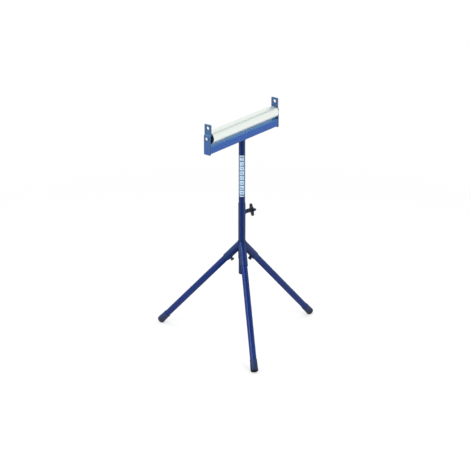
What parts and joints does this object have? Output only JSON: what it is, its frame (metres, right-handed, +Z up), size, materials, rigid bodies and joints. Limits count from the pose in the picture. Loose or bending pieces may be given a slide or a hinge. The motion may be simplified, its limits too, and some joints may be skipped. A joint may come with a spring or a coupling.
{
  "type": "roller stand",
  "caption": "Tripod roller stand: a bright roller over a square beam between drilled end tabs, on a clamped sliding mast with plug-in splayed legs and rubber feet.",
  "frame": {"origin": "on the floor, on the mast's axis", "axes": "+Z up along the mast, +X along the roller towards the far end plate, -Y towards the side of the beam that the picture shows"},
  "size_m": [0.6175, 0.6212, 0.9498],
  "materials": {
    "blue_paint": "gloss blue paint",
    "black_plastic": "fine moulded grain",
    "black_rubber": "matt",
    "bright_zinc": "bright zinc plate",
    "steel": "turned"
  },
  "bodies": {
    "base": {"outer_tube": "blue_paint", "clamp_boss": "blue_paint", "leg_socket_0": "blue_paint", "leg_socket_1": "blue_paint", "leg_socket_2": "blue_paint", "lock_nut_0": "blue_paint", "lock_nut_1": "blue_paint", "lock_nut_2": "blue_paint"},
    "mast_slider": {"mast_plug": "black_plastic"},
    "head": {"inner_tube": "blue_paint", "beam": "blue_paint", "end_plate_left": "blue_paint", "end_plate_right": "blue_paint", "axle": "steel"},
    "roller": {"roller_tube": "bright_zinc", "roller_cap_left": "black_plastic", "roller_cap_right": "black_plastic", "bearing_left": "steel", "bearing_right": "steel"},
    "mast_clamp_screw": {"clamp_screw": "steel"},
    "mast_clamp_knob": {"cross_knob": "black_plastic"},
    "leg_0_body": {"leg_0": "blue_paint", "foot_0": "black_rubber"},
    "leg_0_lock_screw": {"lock_screw_0": "steel"},
    "leg_0_lock_knob": {"lock_knob_0": "black_plastic"},
    "leg_1_body": {"leg_1": "blue_paint", "foot_1": "black_rubber"},
    "leg_1_lock_screw": {"lock_screw_1": "steel"},
    "leg_1_lock_knob": {"lock_knob_1": "black_plastic"},
    "leg_2_body": {"leg_2": "blue_paint", "foot_2": "black_rubber"},
    "leg_2_lock_screw": {"lock_screw_2": "steel"},
    "leg_2_lock_knob": {"lock_knob_2": "black_plastic"}
  },
  "joints": [
    {"name": "mast_height", "type": "slide", "parent": "base", "child": "mast_slider", "axis": [0, 0, 1], "range_m": [-0.25, 0.18]},
    {"name": "head_swivel", "type": "hinge", "parent": "mast_slider", "child": "head", "pos_m": [0, 0, 0.8478], "axis": [0, 0, 1], "continuous": true},
    {"name": "roller_spin", "type": "hinge", "parent": "head", "child": "roller", "pos_m": [0, 0, 0.8938], "axis": [1, 0, 0], "continuous": true},
    {"name": "clamp_travel", "type": "slide", "parent": "base", "child": "mast_clamp_screw", "axis": [0.969, -0.247, 0], "range_m": [0, 0.003]},
    {"name": "clamp_turn", "type": "hinge", "parent": "mast_clamp_screw", "child": "mast_clamp_knob", "pos_m": [0, 0, 0.53], "axis": [0.969, -0.247, 0], "range_deg": [0, 720]},
    {"name": "leg_0_pull", "type": "slide", "parent": "base", "child": "leg_0_body", "axis": [0.6497, -0.1656, -0.742], "range_m": [0, 0.045]},
    {"name": "leg_0_lock_travel", "type": "slide", "parent": "base", "child": "leg_0_lock_screw", "axis": [-0.719, 0.1833, -0.6704], "range_m": [0, 0.002]},
    {"name": "leg_0_lock_turn", "type": "hinge", "parent": "leg_0_lock_screw", "child": "leg_0_lock_knob", "pos_m": [0.05522, -0.01408, 0.34093], "axis": [-0.719, 0.1833, -0.6704], "range_deg": [0, 720]},
    {"name": "leg_1_pull", "type": "slide", "parent": "base", "child": "leg_1_body", "axis": [-0.1814, 0.6454, -0.742], "range_m": [0, 0.045]},
    {"name": "leg_1_lock_travel", "type": "slide", "parent": "base", "child": "leg_1_lock_screw", "axis": [0.2008, -0.7143, -0.6704], "range_m": [0, 0.002]},
    {"name": "leg_1_lock_turn", "type": "hinge", "parent": "leg_1_lock_screw", "child": "leg_1_lock_knob", "pos_m": [-0.01542, 0.05486, 0.34093], "axis": [0.2008, -0.7143, -0.6704], "range_deg": [0, 720]},
    {"name": "leg_2_pull", "type": "slide", "parent": "base", "child": "leg_2_body", "axis": [-0.4682, -0.4798, -0.742], "range_m": [0, 0.045]},
    {"name": "leg_2_lock_travel", "type": "slide", "parent": "base", "child": "leg_2_lock_screw", "axis": [0.5182, 0.531, -0.6704], "range_m": [0, 0.002]},
    {"name": "leg_2_lock_turn", "type": "hinge", "parent": "leg_2_lock_screw", "child": "leg_2_lock_knob", "pos_m": [-0.0398, -0.04079, 0.34093], "axis": [0.5182, 0.531, -0.6704], "range_deg": [0, 720]}
  ],
  "couplings": [
    {"joint": "clamp_turn", "follows": "clamp_travel", "rad_per_m": 4188.8},
    {"joint": "leg_0_lock_turn", "follows": "leg_0_lock_travel", "rad_per_m": 6283.2},
    {"joint": "leg_1_lock_turn", "follows": "leg_1_lock_travel", "rad_per_m": 6283.2},
    {"joint": "leg_2_lock_turn", "follows": "leg_2_lock_travel", "rad_per_m": 6283.2}
  ]
}
